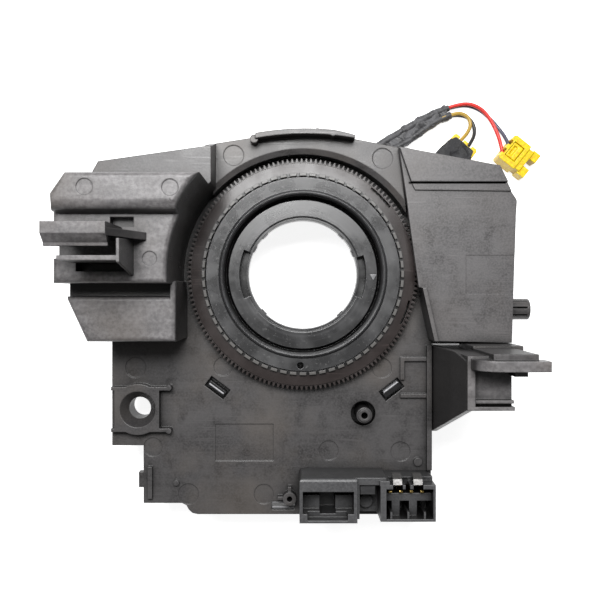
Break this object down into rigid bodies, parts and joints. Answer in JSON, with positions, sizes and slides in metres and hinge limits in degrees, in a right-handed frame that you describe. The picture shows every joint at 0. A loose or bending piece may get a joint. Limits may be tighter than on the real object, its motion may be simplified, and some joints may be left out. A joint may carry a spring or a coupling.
{
  "type": "steering clock spring",
  "caption": "Steering clock spring: moulded bracket that fits round the column, with a turning toothed rotor, switch bays, sockets and an airbag harness.",
  "frame": {"origin": "centre of the rotor's bore at its steering-wheel face, on which the part rests", "axes": "+Z along the rotor axis to the steering-column side; +X to the right and +Y to the top, seen from the column side"},
  "size_m": [0.1912, 0.1736, 0.084],
  "materials": {
    "housing_plastic": "satin moulded, fine spark texture",
    "socket_plastic": "smooth moulded",
    "drum_plastic": "smooth moulded",
    "rotor_plastic": "glossy moulded",
    "gear_plastic": "satin acetal",
    "pinion_plastic": "natural acetal",
    "pin_brass": "gold-flashed",
    "clip_steel": "tinned spring strip",
    "ribbon_film": "polyester film",
    "slip_film": "low-friction film",
    "board": "solder mask",
    "chip": "moulded epoxy",
    "sleeve": "woven harness tape",
    "wire_red": "smooth insulation",
    "wire_grey": "smooth insulation",
    "wire_yellow": "smooth insulation",
    "wire_black": "smooth insulation",
    "plug_yellow": "smooth moulded",
    "tape": "black foam tape"
  },
  "bodies": {
    "stator": {"bracket_housing": "housing_plastic", "sensor_cover": "housing_plastic", "socket_housing": "socket_plastic", "latch_clip": "socket_plastic", "airbag_pins": "pin_brass", "control_pins": "pin_brass", "shorting_clips": "clip_steel", "ribbon_case": "drum_plastic", "ribbon_cable": "ribbon_film", "slip_sheet": "slip_film", "sensor_board": "board", "sensor_chips": "chip"},
    "rotor": {"rotor_hub": "rotor_plastic", "sensor_gear_ring": "gear_plastic", "rotor_disc": "drum_plastic", "cable_gland": "drum_plastic", "wheel_socket": "socket_plastic", "wheel_socket_pins": "pin_brass", "upper_sleeve": "sleeve", "lower_sleeve": "sleeve", "red_wire": "wire_red", "grey_wire": "wire_grey", "yellow_wire": "wire_yellow", "black_wire": "wire_black", "front_plug": "plug_yellow", "front_plug_lock": "plug_yellow", "rear_plug": "plug_yellow", "rear_plug_lock": "plug_yellow", "plug_tape": "tape"},
    "upper_pinion": {"sensor_gear_upper": "pinion_plastic"},
    "lower_pinion": {"sensor_gear_lower": "pinion_plastic"}
  },
  "joints": [
    {"name": "rotor_spin", "type": "hinge", "parent": "stator", "child": "rotor", "pos_m": [0, 0, 0.02], "axis": [0, 0, 1], "range_deg": [-900, 900], "deforming": ["ribbon_cable"]},
    {"name": "upper_pinion_spin", "type": "hinge", "parent": "stator", "child": "upper_pinion", "pos_m": [0.04805, 0.01797, 0.03], "axis": [0, 0, 1], "range_deg": [-6800, 6800]},
    {"name": "lower_pinion_spin", "type": "hinge", "parent": "stator", "child": "lower_pinion", "pos_m": [0.05176, 0.0038, 0.03], "axis": [0, 0, 1], "range_deg": [-6180, 6180]}
  ],
  "couplings": [
    {"joint": "upper_pinion_spin", "follows": "rotor_spin", "ratio": -7.55},
    {"joint": "lower_pinion_spin", "follows": "rotor_spin", "ratio": -6.8636}
  ]
}
